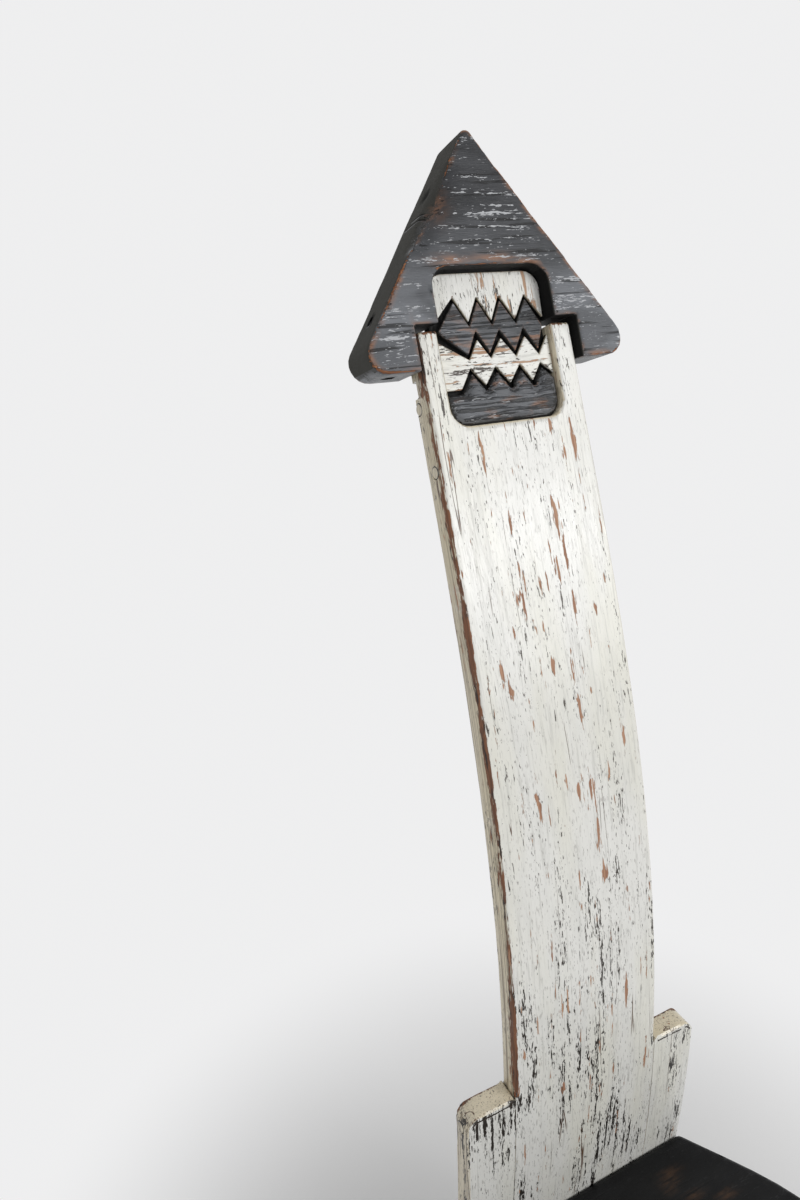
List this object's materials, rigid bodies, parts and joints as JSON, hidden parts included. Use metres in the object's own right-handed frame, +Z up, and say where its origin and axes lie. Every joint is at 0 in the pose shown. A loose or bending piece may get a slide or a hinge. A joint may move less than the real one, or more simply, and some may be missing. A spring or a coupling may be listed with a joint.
{
  "type": "chair",
  "caption": "Tall narrow chair with a bowed board back, a pointed black head with saw-tooth inlays, a solid black seat and worn, peeling white paint.",
  "frame": {"origin": "on the floor, under the middle of the chair's bounding box", "axes": "+X to a viewer's right as they face the chair, +Y to the rear, +Z up"},
  "size_m": [0.544, 0.7876, 1.706],
  "materials": {
    "white_paint": "off-white paint, satin, worn through to brown wood along the edges and flecked with black",
    "black_paint": "black paint, satin, with grain showing and edges rubbed to orange-brown wood",
    "bare_wood": "unpainted wood, dull",
    "screw_steel": "plain steel wood screws"
  },
  "bodies": {
    "root": {"back_plank": "white_paint", "corner_block_front_left": "bare_wood", "corner_block_front_right": "bare_wood", "corner_block_rear_left": "bare_wood", "corner_block_rear_right": "bare_wood", "cross_dowel": "bare_wood", "front_dowel_high_left": "bare_wood", "front_dowel_high_right": "bare_wood", "front_dowel_low_left": "bare_wood", "front_dowel_low_right": "bare_wood", "front_leg_left": "white_paint", "front_leg_right": "white_paint", "front_rail": "white_paint", "head_block": "black_paint", "head_screw_left": "screw_steel", "head_screw_right": "screw_steel", "horn_plug_left": "white_paint", "horn_plug_right": "white_paint", "horn_screw_left": "screw_steel", "horn_screw_right": "screw_steel", "inlay_backing": "black_paint", "jaw_panel": "black_paint", "leg_plug_lower_left": "white_paint", "leg_plug_lower_right": "white_paint", "leg_plug_upper_left": "white_paint", "leg_plug_upper_right": "white_paint", "leg_screw_lower_left": "screw_steel", "leg_screw_lower_right": "screw_steel", "leg_screw_upper_left": "screw_steel", "leg_screw_upper_right": "screw_steel", "lower_tooth_panel": "white_paint", "middle_tooth_panel": "black_paint", "rear_dowel_high_left": "bare_wood", "rear_dowel_high_right": "bare_wood", "rear_dowel_low_left": "bare_wood", "rear_dowel_low_right": "bare_wood", "rear_leg_left": "white_paint", "rear_leg_right": "white_paint", "rear_rail": "white_paint", "rear_rail_screw_1": "screw_steel", "rear_rail_screw_2": "screw_steel", "rear_rail_screw_3": "screw_steel", "rear_rail_screw_4": "screw_steel", "seat_board": "black_paint", "seat_screw_front_left": "screw_steel", "seat_screw_front_right": "screw_steel", "seat_screw_rear_left": "screw_steel", "seat_screw_rear_right": "screw_steel", "side_dowel_high_left": "bare_wood", "side_dowel_high_right": "bare_wood", "side_dowel_low_left": "bare_wood", "side_dowel_low_right": "bare_wood", "side_rail_left": "white_paint", "side_rail_right": "white_paint", "upper_tooth_panel": "white_paint"}
  },
  "joints": []
}
